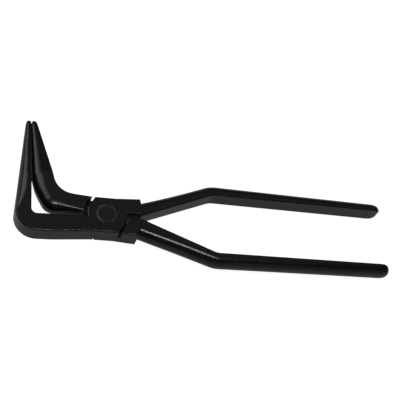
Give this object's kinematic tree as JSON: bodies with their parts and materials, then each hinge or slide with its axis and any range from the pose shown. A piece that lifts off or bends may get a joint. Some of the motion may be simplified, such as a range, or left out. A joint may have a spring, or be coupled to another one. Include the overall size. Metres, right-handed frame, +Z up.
{
  "type": "bent-jaw lap-joint tongs",
  "caption": "Blackened forged steel lap-joint tongs with both beaks bent square to the handles, for folding and gripping hot or thin metal.",
  "frame": {"origin": "on the pivot axis, in the plane of the underside that the tongs rest on", "axes": "+X from the pivot towards the handle ends, +Y from the pivot towards the beak tips, +Z up along the pivot axis from the underside to the top face"},
  "size_m": [0.2891, 0.1131, 0.0144],
  "materials": {
    "outer_half_steel": "black oxide and lacquer, satin, brighter where edges have rubbed",
    "inner_half_steel": "black oxide and lacquer, satin, brighter where edges have rubbed",
    "rivet_steel": "black oxide over a ground flush head, fine ring at the rim"
  },
  "bodies": {
    "outer_half": {"outer_jaw_half": "outer_half_steel", "pivot_rivet": "rivet_steel"},
    "inner_half": {"inner_jaw_half": "inner_half_steel"}
  },
  "joints": [
    {"name": "pivot", "type": "hinge", "parent": "outer_half", "child": "inner_half", "pos_m": [0, 0, 0.0072], "axis": [0, 0, -1], "range_deg": [0, 15]}
  ]
}
